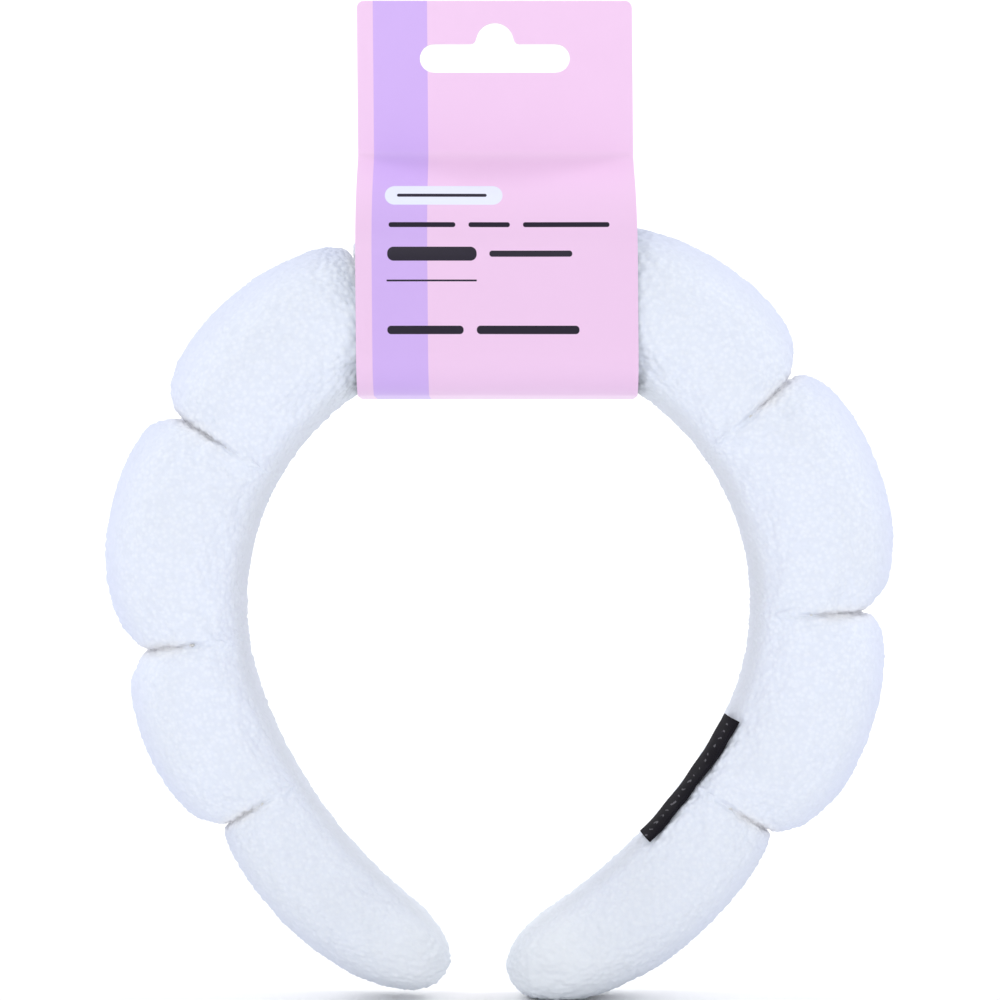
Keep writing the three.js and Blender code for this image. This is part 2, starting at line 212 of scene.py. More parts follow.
def sectionPoint(s, angle, lift=0.0):  # angle 0 is the back, 90 the outer side
    thick, deep, drawn = sizeAt(s)
    up, across = math.sin(angle), math.cos(angle)
    power = 2 / plump["squareness" if up > 0 else "innerSquareness"]
    half = thick / 2
    reach = half + lift - (0 if up > 0 else plump["innerEase"])
    inFromFace = half + reach * math.copysign(abs(up) ** power, up)
    share = min(1.0, max(0.0, (inFromFace / thick - plump["creaseFrom"])
                         / (plump["creaseTo"] - plump["creaseFrom"])))
    share = share * share * (3 - 2 * share)
    y = (deep + lift) * math.copysign(abs(across) ** power, across)
    return inFromFace, y * (1 - plump["creaseDrawIn"] * share * drawn)


def coverPlace(s, inFromFace, y):  # as placeAt, with the creases leaning
    share = np.clip((inFromFace / sizeAt(s)[0] - cinches["leanFrom"]) / (1 - cinches["leanFrom"]), 0, 1)
    lean = 0.0
    for side in ("left", "right"):
        sign = line[side]["sign"]
        for at, shift in zip(cinches[side]["at"], cinches[side]["lean"]):
            lean += sign * shift * math.exp(-((s - sign * at) / cinches["leanSpread"]) ** 2)
    return placeAt(s + lean * share, inFromFace, y)


# shared shader groups

def newGroup(name, inputs, outputs):
    group = bpy.data.node_groups.new(name, "ShaderNodeTree")
    for label, kind, value in inputs:
        socket = group.interface.new_socket(label, in_out="INPUT", socket_type="NodeSocket" + kind)
        if value is not None:
            socket.default_value = value
    for label, kind in outputs:
        group.interface.new_socket(label, in_out="OUTPUT", socket_type="NodeSocket" + kind)
    nodes = group.nodes
    return group, nodes, group.links, nodes.new("NodeGroupInput"), nodes.new("NodeGroupOutput")


def mathNode(nodes, links, kind, a, b=None, c=None, clamp=False):
    node = nodes.new("ShaderNodeMath")
    node.operation = kind
    node.use_clamp = clamp
    for socket, value in zip(node.inputs, (a, b, c)):
        if value is None:
            continue
        if isinstance(value, (int, float)):
            socket.default_value = value
        else:
            links.new(value, socket)
    return node.outputs[0]


def mixNode(nodes, links, share, a, b, blend="MIX"):
    node = nodes.new("ShaderNodeMix")
    node.data_type = "RGBA"
    node.blend_type = blend
    for socket, value in ((node.inputs[0], share), (node.inputs[6], a), (node.inputs[7], b)):
        if isinstance(value, (int, float)):
            socket.default_value = value
        elif isinstance(value, tuple):
            socket.default_value = (*value, 1) if len(value) == 3 else value
        else:
            links.new(value, socket)
    return node.outputs[2]


def rampNode(nodes, links, value, low, high, smooth=True):
    node = nodes.new("ShaderNodeMapRange")
    node.interpolation_type = "SMOOTHSTEP" if smooth else "LINEAR"
    links.new(value, node.inputs["Value"])
    node.inputs["From Min"].default_value = low
    node.inputs["From Max"].default_value = high
    return node.outputs[0]


def noiseNode(nodes, links, vector, scale, detail=3, rough=0.5):
    node = nodes.new("ShaderNodeTexNoise")
    node.inputs["Scale"].default_value = scale
    node.inputs["Detail"].default_value = detail
    node.inputs["Roughness"].default_value = rough
    links.new(vector, node.inputs["Vector"])
    return node.outputs["Fac"]


def pileGroup():  # fibres of a looped or napped cloth: a shade mask and a height
    group, nodes, links, given, out = newGroup(
        "clothPile",
        [("Position", "Vector", None), ("Loop Scale", "Float", 900.0), ("Fibre Scale", "Float", 4200.0)],
        [("Shade", "Float"), ("Height", "Float")])
    loops = nodes.new("ShaderNodeTexVoronoi")
    loops.feature = "SMOOTH_F1"
    loops.inputs["Smoothness"].default_value = 0.4
    links.new(given.outputs["Position"], loops.inputs["Vector"])
    links.new(given.outputs["Loop Scale"], loops.inputs["Scale"])
    fibres = nodes.new("ShaderNodeTexNoise")
    fibres.inputs["Detail"].default_value = 4
    fibres.inputs["Roughness"].default_value = 0.65
    links.new(given.outputs["Position"], fibres.inputs["Vector"])
    links.new(given.outputs["Fibre Scale"], fibres.inputs["Scale"])
    rise = mathNode(nodes, links, "SUBTRACT", 1.0, loops.outputs["Distance"], clamp=True)
    height = mathNode(nodes, links, "MULTIPLY_ADD", fibres.outputs["Fac"], 0.45, rise)
    fuzz = mathNode(nodes, links, "MULTIPLY_ADD", fibres.outputs["Fac"], 0.5, rise)
    shade = rampNode(nodes, links, fuzz, 0.55, 1.15)
    links.new(shade, out.inputs["Shade"])
    links.new(height, out.inputs["Height"])
    return group


def barGroup():  # one printed bar with round corners, as a mask over x and z
    group, nodes, links, given, out = newGroup(
        "printedBar",
        [("Position", "Vector", None), ("Centre X", "Float", 0.0), ("Centre Z", "Float", 0.0),
         ("Half Width", "Float", 0.01), ("Half Height", "Float", 0.001), ("Corner", "Float", 0.0005)],
        [("Mask", "Float")])
    parts = nodes.new("ShaderNodeSeparateXYZ")
    links.new(given.outputs["Position"], parts.inputs[0])
    reach = []
    for axis, centre, half in (("X", "Centre X", "Half Width"), ("Z", "Centre Z", "Half Height")):
        off = mathNode(nodes, links, "ABSOLUTE", mathNode(
            nodes, links, "SUBTRACT", parts.outputs[axis], given.outputs[centre]))
        core = mathNode(nodes, links, "SUBTRACT", given.outputs[half], given.outputs["Corner"])
        past = mathNode(nodes, links, "SUBTRACT", off, core)
        reach.append(mathNode(nodes, links, "MAXIMUM", past, 0.0))
    squares = [mathNode(nodes, links, "MULTIPLY", r, r) for r in reach]
    far = mathNode(nodes, links, "SQRT", mathNode(nodes, links, "ADD", *squares))
    edge = mathNode(nodes, links, "SUBTRACT", given.outputs["Corner"], far)
    mask = mathNode(nodes, links, "MULTIPLY_ADD", edge, 1 / 0.00008, 0.5, clamp=True)
    links.new(mask, out.inputs["Mask"])
    return group


def placeGroup(nodes, links, group, **values):
    node = nodes.new("ShaderNodeGroup")
    node.node_tree = group
    for label, value in values.items():
        socket = node.inputs[label.replace("_", " ")]
        if isinstance(value, (int, float)):
            socket.default_value = value
        else:
            links.new(value, socket)
    return node


def startMaterial(name, roughness, **sockets):
    look = bpy.data.materials.new(name)
    look.use_nodes = True
    nodes, links = look.node_tree.nodes, look.node_tree.links
    shader = nodes["Principled BSDF"]
    shader.inputs["Roughness"].default_value = roughness
    for label, value in sockets.items():
        shader.inputs[label.replace("_", " ")].default_value = value
    where = nodes.new("ShaderNodeTexCoord").outputs["Object"]
    return look, nodes, links, shader, where


def addBump(nodes, links, shader, height, distance, strength=1.0):
    bump = nodes.new("ShaderNodeBump")
    bump.inputs["Distance"].default_value = distance
    bump.inputs["Strength"].default_value = strength
    links.new(height, bump.inputs["Height"])
    links.new(bump.outputs["Normal"], shader.inputs["Normal"])


clothPile = pileGroup()
printedBar = barGroup()


# terry look

terryColours = {
    "tips": (0.797, 0.843, 0.938),
    "roots": (0.742, 0.792, 0.906),
    # painted shade on the inner face and the lower legs, with random patches of tone
    "worn": (0.70, 0.738, 0.79),
    # painted shade: a darker bluish tint along the outer side
    "outer": (0.70, 0.745, 0.90),
    # painted light: the creases at the cinches painted lighter against their shade
    "seam": (0.86, 0.85, 0.845),
    # painted light: the leg ends lighter, where they face down away from the light
    "ends": (0.84, 0.88, 0.92),
}


def terryMaterial():
    look, nodes, links, shader, where = startMaterial(
        "whiteTerry", 0.95, Sheen_Weight=0.05, Sheen_Roughness=0.5, Sheen_Tint=(0.7, 0.78, 1, 1),
        Specular_IOR_Level=0.08)
    pile = placeGroup(nodes, links, clothPile, Position=where, Loop_Scale=950.0, Fibre_Scale=5200.0)
    patches = rampNode(nodes, links, noiseNode(nodes, links, where, 60, 2), 0.35, 0.7)
    base = mixNode(nodes, links, pile.outputs["Shade"], terryColours["roots"], terryColours["tips"])
    share = {}
    for name in ("worn", "outer", "seam", "ends"):
        painted = nodes.new("ShaderNodeAttribute")
        painted.attribute_name = name
        share[name] = painted.outputs["Fac"]
    # random patches of tone are added to the painted shade
    share["worn"] = mathNode(nodes, links, "ADD", share["worn"],
                             mathNode(nodes, links, "MULTIPLY", patches, 0.15), clamp=True)
    colour = base
    # painted shade on the outer side, the inner face and the lower legs, and painted light at the leg ends
    # and in the creases
    for name in ("outer", "worn", "ends", "seam"):
        colour = mixNode(nodes, links, share[name], colour, terryColours[name])
    links.new(colour, shader.inputs["Base Color"])
    addBump(nodes, links, shader, pile.outputs["Height"], 0.0001, 0.45)
    return look


terry = terryMaterial()


# terry cover: a tube extruded round the hoop, fitted, blown up as cloth, then looped

cover = {
    "around": 40,
    "ringStep": 3.0,  # between rings in the middle of a bubble
    "cinchSteps": [0.35, 1.0, 2.0, 3.4, 5.2],  # rings either side of a cinch
    "fabricGrowth": 0.03,
    "pressure": 4.0,
    "simFrames": 20,
    "mostMove": 0.9,  # mm that a point may move as the cover is blown up
    "loopSize": 1.3,
    "loopHeight": 0.62,
    "tuftSize": 2.6,
    "tuftHeight": 0.5,
    "detail": 3,
    "stitchShare": 0.5,
    "dimpleDepth": 0.9,
    "dimpleSize": 2.2,
    "bendReach": 7,
    "floorGap": 0.02,
    "seamWidth": 1.3,
}


def ringPlaces():
    ends = (-line["left"]["length"] + plump["tipLength"], line["right"]["length"] - plump["tipLength"])
    places = set(cinchMarks)
    for mark in cinchMarks:
        for step in cover["cinchSteps"]:
            places.update((mark - step, mark + step))
    stops = [ends[0]] + cinchMarks + [ends[1]]
    reach = cover["cinchSteps"][-1]
    for a, b in zip(stops, stops[1:]):
        low = a + (reach if a in cinchMarks else 0)
        high = b - (reach if b in cinchMarks else 0)
        count = max(2, round((high - low) / cover["ringStep"]))
        places.update(low + (high - low) * i / count for i in range(count + 1))
    kept = []
    for s in sorted(places):
        if not kept or s - kept[-1] > 0.2:
            kept.append(s)
    return kept


def roundTip(sign):  # rings over a rounded tip: place and size
    steps = []
    length = plump["tipLength"]
    end = sign * (line["left" if sign < 0 else "right"]["length"] - length)
    for angle in (18, 35, 50, 63, 74, 83):
        a = math.radians(angle)
        steps.append((end + sign * length * math.sin(a), math.cos(a)))
    return steps


def extrudeCover():
    places = ringPlaces()
    rings = [(s, scale) for s, scale in reversed(roundTip(-1))]
    rings += [(s, 1.0) for s in places] + roundTip(1)
    first = rings[0][0]
    turn = arcAt(first)[0]
    deselectAll()
    bpy.ops.mesh.primitive_circle_add(
        vertices=cover["around"], radius=0.01, location=placeAt(first, 10, 0),
        rotation=(0, turn - math.pi / 2, 0))
    tube = bpy.context.object
    tube.name = "terry_cover"
    bpy.ops.object.transform_apply(location=True, rotation=True, scale=True)
    bpy.ops.object.mode_set(mode="EDIT")
    bpy.ops.mesh.select_all(action="SELECT")
    for (before, _), (s, _) in zip(rings, rings[1:]):
        bpy.ops.mesh.extrude_region_move()
        turnBefore, _, _ = arcAt(before)
        turnNow, _, centre = arcAt(s)
        middle = (hoopCentre.x + centre[0] * mm, 0, hoopCentre.z + centre[1] * mm)
        bpy.ops.transform.rotate(value=turnBefore - turnNow, orient_axis="Y",
                                 orient_type="GLOBAL", center_override=middle)
    bpy.ops.object.mode_set(mode="OBJECT")
    return tube, rings


def seamShare(s):  # how near a cinch, which sets where the creases are painted lighter
    return max(math.exp(-((s - mark) / cover["seamWidth"]) ** 2) for mark in cinchMarks)


def fitCover(tube, rings):  # each ring takes the band's size and crease at its place
    points = pointsOf(tube).reshape(len(rings), cover["around"], 3)
    shares = {name: np.zeros(len(tube.data.vertices)) for name in ("worn", "outer", "seam", "ends")}
    for i, (s, scale) in enumerate(rings):
        thick = sizeAt(s)[0]
        half = thick / 2
        for k in range(cover["around"]):
            angle = 2 * math.pi * k / cover["around"]
            inFromFace, y = sectionPoint(s, angle)
            points[i, k] = coverPlace(s, half + (inFromFace - half) * scale, y * scale)
            place = i * cover["around"] + k
            # painted shade: darker on the inner face, turned from the light, and down the lower legs
            shares["worn"][place] = max(0.75 * smoothStep(0.62, 0.96, -math.sin(angle)),
                                        0.35 * smoothStep(95, 150, abs(s)))
            # painted shade along the outer side
            shares["outer"][place] = smoothStep(0.5, 0.97, math.sin(angle))
            # painted light in the creases near each cinch
            shares["seam"][place] = 0.7 * seamShare(s) * smoothStep(0.35, 0.7, inFromFace / thick)
            # painted light on the leg ends
            shares["ends"][place] = 0.6 * smoothStep(152, 174, abs(s))
    for name, values in shares.items():
        painted = tube.data.attributes.new(name, "FLOAT", "POINT")
        painted.data.foreach_set("value", values)
    movePoints(tube, points.reshape(-1, 3))


tube, rings = extrudeCover()
fitCover(tube, rings)
print("cover extruded:", len(rings), "rings")


def closeTips(tube):
    pick(tube)
    bpy.ops.object.mode_set(mode="EDIT")
    bpy.ops.mesh.select_all(action="DESELECT")
    bpy.ops.mesh.select_non_manifold(extend=False)
    bpy.ops.mesh.edge_face_add()
    bpy.ops.mesh.poke()
    bpy.ops.mesh.select_all(action="SELECT")
    bpy.ops.mesh.normals_make_consistent(inside=False)
    bpy.ops.object.mode_set(mode="OBJECT")


def blowUp(tube):  # cloth under pressure, held by the thread at the cinches and by the core inside
    before = pointsOf(tube).copy()
    held = tube.vertex_groups.new(name="held")
    count = cover["around"]
    for i, (s, scale) in enumerate(rings):
        nearest = min(abs(s - mark) for mark in cinchMarks)
        for k in range(count):
            outer = math.sin(2 * math.pi * k / count)
            hold = 1.0 if nearest < 0.5 and outer > -0.3 else 0.0
            hold = max(hold, min(1.0, max(0.0, (-outer - 0.55) / 0.35)))
            if hold > 0:
                held.add([i * count + k], hold, "REPLACE")
    cloth = tube.modifiers.new("blowUp", "CLOTH")
    settings = cloth.settings
    settings.quality = 6
    settings.mass = 0.15
    settings.tension_stiffness = 25
    settings.compression_stiffness = 25
    settings.shear_stiffness = 8
    settings.bending_stiffness = 0.8
    settings.shrink_min = -cover["fabricGrowth"]
    settings.use_pressure = True
    settings.uniform_pressure_force = cover["pressure"]
    settings.vertex_group_mass = "held"
    settings.pin_stiffness = 2
    settings.effector_weights.gravity = 0
    cloth.collision_settings.use_collision = False
    cloth.point_cache.frame_start = 1
    cloth.point_cache.frame_end = cover["simFrames"]
    scene = bpy.context.scene
    for f in range(1, cover["simFrames"] + 1):
        scene.frame_set(f)
    pick(tube)
    bpy.ops.object.modifier_apply(modifier=cloth.name)
    scene.frame_set(1)
    after = pointsOf(tube)
    move = after - before
    far = np.linalg.norm(move, axis=1, keepdims=True)
    print("cloth moved up to %.2f mm" % (far.max() / mm))
    most = cover["mostMove"] * mm
    movePoints(tube, before + move * np.minimum(1, most / np.maximum(far, 1e-9)))
    tube.vertex_groups.clear()


def smoothUp(tube):
    smooth = tube.modifiers.new("smooth", "SUBSURF")
    smooth.levels = smooth.render_levels = cover["detail"]
    finishModifiers(tube)


def addLoops(tube):  # tufts first, then the loops of the pile
    for name, kind, size, height in (("tufts", "CLOUDS", cover["tuftSize"], cover["tuftHeight"]),
                                     ("loops", "VORONOI", cover["loopSize"], cover["loopHeight"])):
        texture = bpy.data.textures.new(name, kind)
        texture.noise_scale = size * mm
        if kind == "VORONOI":
            texture.distance_metric = "DISTANCE"
            texture.noise_intensity = 1.0
        push = tube.modifiers.new(name, "DISPLACE")
        push.texture = texture
        push.texture_coords = "LOCAL"
        push.strength = (-1 if kind == "VORONOI" else 1) * height * mm
        push.mid_level = 0.5
    finishModifiers(tube)
    points = pointsOf(tube)
    points[:, 2] = np.maximum(points[:, 2], cover["floorGap"] * mm)  # the foot lies flat
    movePoints(tube, points)
    pick(tube)
    bpy.ops.object.shade_smooth()


# what each length of the cover stands for, and the bodies either side of its cinch
lengths = {
    ("left", 4): ("left_lower", "left_end", ["terry_left_end"]),
    ("left", 3): ("left_middle", "left_lower", ["terry_left_lower"]),
    ("left", 2): ("left_upper", "left_middle", ["terry_left_middle"]),
    ("left", 1): ("crown", "left_upper", ["terry_left_upper"]),
    ("right", 1): ("crown", "right_upper", ["terry_crown", "terry_right_upper"]),
    ("right", 2): ("right_upper", "right_middle", ["terry_right_middle"]),
    ("right", 3): ("right_middle", "right_lower", ["terry_right_lower"]),
    ("right", 4): ("right_lower", "right_end", ["terry_right_end"]),
}


def lengthAt(s):  # which length of the cover a place falls in
    middle = (cinches["right"]["at"][0] - cinches["left"]["at"][0]) / 2
    side = "left" if s < middle else "right"
    at = cinches[side]["at"]
    stops = [(a + b) / 2 for a, b in zip(at, at[1:])]
    return side, 1 + sum(abs(s) > stop for stop in stops)


def markLengths(tube):  # a slot for each length, so that they separate after all is shaped
    order = list(lengths)
    for key in order:
        tube.data.materials.append(bpy.data.materials.new("length_%s_%d" % key))
    centres = []
    for before, now in zip(rings, rings[1:]):
        centres.append(order.index(lengthAt((before[0] + now[0]) / 2)))
    count = cover["around"]
    for face in tube.data.polygons:
        ring = min(v // count for v in face.vertices)
        face.material_index = centres[min(ring, len(centres) - 1)]
    for face in tube.data.polygons:  # the poked tips
        if len(face.vertices) == 3:
            low = min(face.vertices) // count
            face.material_index = 0 if low < len(rings) / 2 else len(order) - 1


def dimpleStitches(tube):  # the thread pulls a small dimple where it goes through
    points = pointsOf(tube)
    for side in ("left", "right"):
        for i in range(4):
            for face in (-1, 1):
                at = stitchPoint(side, i, face)
                away = np.linalg.norm(points - np.array(at), axis=1) / mm
                pull = cover["dimpleDepth"] * np.exp(-(away / cover["dimpleSize"]) ** 2)
                points[:, 1] -= face * pull * mm
    movePoints(tube, points)


def stitchPoint(side, i, face):  # on the cover, at the inner end of a crease; face -1 is the front
    s = line[side]["sign"] * cinches[side]["at"][i]
    thick = sizeAt(s)[0]
    want = thick * cover["stitchShare"]
    best = min((abs(sectionPoint(s, math.radians(a))[0] - want), a) for a in range(-60, 80))
    inFromFace, y = sectionPoint(s, math.radians(best[1]))
    return coverPlace(s, inFromFace, y * face)


def separateLengths(tube):
    normals = np.empty(len(tube.data.vertices) * 3, dtype=np.float32)
    tube.data.vertices.foreach_get("normal", normals)
    kept = tube.data.attributes.new("wholeNormal", "FLOAT_VECTOR", "POINT")
    kept.data.foreach_set("vector", normals)
    names = [m.name for m in tube.data.materials]
    pick(tube)
    bpy.ops.object.mode_set(mode="EDIT")
    bpy.ops.mesh.separate(type="MATERIAL")
    bpy.ops.object.mode_set(mode="OBJECT")
    made = {}
    for piece in list(bpy.context.selected_objects):
        _, side, number = piece.data.materials[0].name.split("_")
        key = side, int(number)
        piece.name = "cover_%s_%d" % key
        made[key] = piece
        piece.data.materials.clear()
        piece.data.materials.append(terry)
        normal = np.empty(len(piece.data.vertices) * 3, dtype=np.float32)
        piece.data.attributes["wholeNormal"].data.foreach_get("vector", normal)
        piece.data.normals_split_custom_set_from_vertices(normal.reshape(-1, 3))
        piece.data.attributes.remove(piece.data.attributes["wholeNormal"])
    for name in names:
        bpy.data.materials.remove(bpy.data.materials[name])
    return made


def blendAcross(piece):  # its place is baked into the mesh
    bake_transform(piece)


closeTips(tube)
markLengths(tube)
blowUp(tube)
smoothUp(tube)
dimpleStitches(tube)
print("cover points:", len(tube.data.vertices))
addLoops(tube)
covers = separateLengths(tube)
for (side, i), piece in covers.items():
    blendAcross(piece)
    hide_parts(*lengths[side, i][2])
print("cover separated:", sorted(p.name for p in covers.values()))


# cinch threads: two plies twisted round each other, knotted at the front

thread = {
    "ply": 0.2, "twist": 1.5, "step": 0.3, "sink": 0.9, "knotSize": 0.42, "tail": 2.2, "runIn": 1.6,
    "dark": (0.63, 0.62, 0.59), "pale": (0.79, 0.785, 0.76),
}


def threadMaterial():
    look, nodes, links, shader, where = startMaterial(
        "cinchThread", 0.7, Sheen_Weight=0.2, Sheen_Roughness=0.5)
    strands = noiseNode(nodes, links, where, 3000, 3)
    colour = mixNode(nodes, links, strands, thread["dark"], thread["pale"])
    links.new(colour, shader.inputs["Base Color"])
    addBump(nodes, links, shader, strands, 0.00006)
    return look


threadLook = threadMaterial()


def tubeFrom(points, radius, name):
    deselectAll()
    bpy.ops.curve.primitive_bezier_curve_add()
    obj = bpy.context.object
    curve = obj.data
    curve.splines.clear()
    spline = curve.splines.new("POLY")
    spline.points.add(len(points) - 1)
    for point, co in zip(spline.points, points):
        point.co = (*co, 1)
    curve.bevel_depth = radius
    curve.bevel_resolution = 1
    curve.use_fill_caps = True
    obj.location = (0, 0, 0)
    pick(obj)
    bpy.ops.object.convert(target="MESH")
    obj = bpy.context.object
    obj.name = name
    return obj


def neckPath(side, i):  # from the front stitch over the outside to the back stitch
    s = line[side]["sign"] * cinches[side]["at"][i]
    thick = sizeAt(s)[0]
    path = []
    for a in np.linspace(200, -20, 160):
        inFromFace, y = sectionPoint(s, math.radians(a), -thread["sink"])
        if inFromFace > thick * cover["stitchShare"]:
            path.append(coverPlace(s, inFromFace, y))
    # both ends run on into the band
    path.insert(0, path[0] + Vector((0, thread["runIn"] * mm, 0)))
    path.append(path[-1] - Vector((0, thread["runIn"] * mm, 0)))
    return path


def evenly(path, step):
    path = np.array(path)
    gaps = np.linalg.norm(np.diff(path, axis=0), axis=1)
    along = np.concatenate([[0], np.cumsum(gaps)])
    at = np.linspace(0, along[-1], int(along[-1] / step) + 1)
    return np.stack([np.interp(at, along, path[:, k]) for k in range(3)], axis=1), at


def twistThread(side, i):
    s = line[side]["sign"] * cinches[side]["at"][i]
    path, at = evenly(neckPath(side, i), thread["step"] * mm)
    ahead = np.gradient(path, axis=0)
    ahead /= np.linalg.norm(ahead, axis=1, keepdims=True)
    beside = np.array(forwardAt(s))
    up = np.cross(beside, ahead)
    parts = []
    for half in (0, math.pi):
        turn = 2 * math.pi * at / (thread["twist"] * mm) + half
        offset = (np.cos(turn)[:, None] * beside + np.sin(turn)[:, None] * up) * thread["ply"] * 0.85 * mm
        parts.append(tubeFrom(path + offset, thread["ply"] * mm, "ply"))
    front = Vector(path[1])
    for k, lean in enumerate((0.5, -0.7)):  # the knot is two small rings
        bpy.ops.mesh.primitive_torus_add(
            major_radius=thread["knotSize"] * mm, minor_radius=thread["ply"] * 1.15 * mm,
            major_segments=14, minor_segments=6,
            location=front + Vector((0, -0.35 * mm * k, 0)), rotation=(math.pi / 2 + lean, lean, 0))
        parts.append(bpy.context.object)
    for k, sign in enumerate((1, -1)):  # and two cut tails
        rise = np.linspace(0, 1, 9)[:, None]
        lean = beside * sign * 0.35
        inwards = np.array(placeAt(s, 9, 0) - placeAt(s, 10, 0)) / mm
        tail = np.array(front) + thread["tail"] * mm * rise * (inwards + lean) * (1 - 0.35 * k)
        tail[:, 1] -= (0.5 * np.sin(rise[:, 0] * math.pi) + 0.25) * mm
        parts.append(tubeFrom(tail, thread["ply"] * mm, "tail"))
    deselectAll()
    for part in parts:
        part.select_set(True)
    bpy.context.view_layer.objects.active = parts[0]
    bpy.ops.object.join()
    whole = bpy.context.object
    whole.name = "thread_%s_%d" % (side, i + 1)
    settle(whole)
    bpy.ops.object.shade_smooth()
    whole.data.materials.clear()
    whole.data.materials.append(threadLook)
    blendAcross(whole)
    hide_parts("cinch_thread_%s_%d" % (side, i + 1))


for side in ("left", "right"):
    for i in range(4):
        twistThread(side, i)
print("threads tied")


# woven label, sewn flat on the inside of the right leg and rolled over its front corner

label = {
    "from": 110.4, "to": 142.0, "frontAngle": 226, "backAngle": 266,
    "thickness": 0.4, "lift": 0.6, "across": 28, "along": 64, "endLift": 0.2,
    "warps": 90, "wefts": 420, "flecks": 17,
    "black": (0.003, 0.003, 0.005), "raised": (0.018, 0.016, 0.022), "fleck": (0.22, 0.22, 0.24),
}


def labelMaterial():
    look, nodes, links, shader, where = startMaterial("wovenLabel", 0.8, Specular_IOR_Level=0.08)
    uv = nodes.new("ShaderNodeUVMap")
    parts = nodes.new("ShaderNodeSeparateXYZ")
    links.new(uv.outputs["UV"], parts.inputs[0])
    across, along = parts.outputs["X"], parts.outputs["Y"]
    # warp and weft threads, crossing
    warp = mathNode(nodes, links, "SINE", mathNode(nodes, links, "MULTIPLY", across, label["warps"]))
    weft = mathNode(nodes, links, "SINE", mathNode(nodes, links, "MULTIPLY", along, label["wefts"]))
    height = mathNode(nodes, links, "MULTIPLY_ADD", mathNode(nodes, links, "MULTIPLY", warp, weft), 0.5, 0.5)
    # a row of pale woven flecks down the middle
    step = mathNode(nodes, links, "MULTIPLY", along, label["flecks"])
    wander = noiseNode(nodes, links, where, 420, 1)
    beat = mathNode(nodes, links, "ABSOLUTE", mathNode(
        nodes, links, "SUBTRACT", mathNode(nodes, links, "FRACT", mathNode(
            nodes, links, "MULTIPLY_ADD", wander, 1.3, step)), 0.5))
    middleOff = mathNode(nodes, links, "ABSOLUTE", mathNode(nodes, links, "SUBTRACT", mathNode(
        nodes, links, "MULTIPLY_ADD", wander, 0.35, across), 0.55))
    fleck = mathNode(nodes, links, "MULTIPLY", rampNode(nodes, links, beat, 0.16, 0.05),
                     rampNode(nodes, links, middleOff, 0.09, 0.03))
    black = mixNode(nodes, links, height, label["black"], label["raised"])
    lit = mathNode(nodes, links, "MULTIPLY_ADD", height, 0.5, 0.35)
    pale = mathNode(nodes, links, "MULTIPLY", fleck, lit)
    colour = mixNode(nodes, links, pale, black, label["fleck"])
    links.new(colour, shader.inputs["Base Color"])
    addBump(nodes, links, shader, height, 0.00008)
    return look


def sewLabel():
    deselectAll()
    bpy.ops.mesh.primitive_grid_add(x_subdivisions=label["across"], y_subdivisions=label["along"],
                                    size=1, location=(0, 0, 0))
    tape = bpy.context.object
    tape.name = "label_woven"
    flat = pointsOf(tape)
    laid = flat.copy()
    for k, (u, v, _) in enumerate(flat):
        s = label["from"] + (v + 0.5) * (label["to"] - label["from"])
        angle = label["frontAngle"] + (u + 0.5) * (label["backAngle"] - label["frontAngle"])
        end = max(0.0, abs(v) - 0.44) / 0.06
        side = max(0.0, abs(u) - 0.46) / 0.04
        lift = label["lift"] + label["endLift"] * (0.4 * end * end) - 0.25 * side
        lift += 0.12 * math.sin(v * 21) * math.cos(u * 5)
        inFromFace, y = sectionPoint(s, math.radians(angle), lift)
        laid[k] = placeAt(s, inFromFace, y)
    movePoints(tape, laid)
    pick(tape)
    bpy.ops.object.mode_set(mode="EDIT")
    bpy.ops.mesh.select_all(action="SELECT")
    bpy.ops.mesh.normals_make_consistent(inside=False)
    bpy.ops.object.mode_set(mode="OBJECT")
    if tape.data.polygons[0].normal.dot(Vector((hoopCentre.x, 0, hoopCentre.z))
                                        - Vector(tape.data.vertices[0].co)) < 0:
        bpy.ops.object.mode_set(mode="EDIT")
        bpy.ops.mesh.flip_normals()
        bpy.ops.object.mode_set(mode="OBJECT")
    wall = tape.modifiers.new("wall", "SOLIDIFY")
    wall.thickness = label["thickness"] * mm
    wall.offset = -1
    edge = tape.modifiers.new("edge", "BEVEL")
    edge.width = 0.12 * mm
    edge.segments = 2
    edge.limit_method = "ANGLE"
    edge.angle_limit = math.radians(50)
    finishModifiers(tape)
    bpy.ops.object.shade_smooth()
    tape.data.materials.append(labelMaterial())
    blendAcross(tape)
    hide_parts("woven_label")


sewLabel()
print("label sewn on")


# header card: a flat sheet of board, folded, glued and punched

card = {
    "width": 60, "board": 0.4, "centre": -0.2, "cornerRadius": 1.6,
    "halfDepth": 21.5, "shoulder": 73, "shoulderEase": 16, "glue": 98, "glueEase": 4.2, "top": 131.4,
    "fold": 45.0, "foldRadius": 9.3, "lean": 0.0085,
    "slotWidth": 32.7, "slotHeight": 6.2, "bumpRadius": 4.1, "bumpRise": 0.5, "bumpFillet": 1.2,
    "slotBelow": 9.5, "glueLine": 0.02,
    "acrossFaces": 40, "alongFaces": 230, "ripple": 0.22,
    "insideColour": (0.95, 0.95, 0.95), "edgeColour": (0.88, 0.86, 0.86),
}
cardX = hoopCentre.x / mm + card["centre"]
hoopZ = hoopCentre.z / mm


def bezier(a, b, c, d, count):
    t = np.linspace(0, 1, count)[:, None]
    a, b, c, d = (np.array(p, float) for p in (a, b, c, d))
    return a * (1 - t) ** 3 + 3 * b * t * (1 - t) ** 2 + 3 * c * t * t * (1 - t) + d * t ** 3


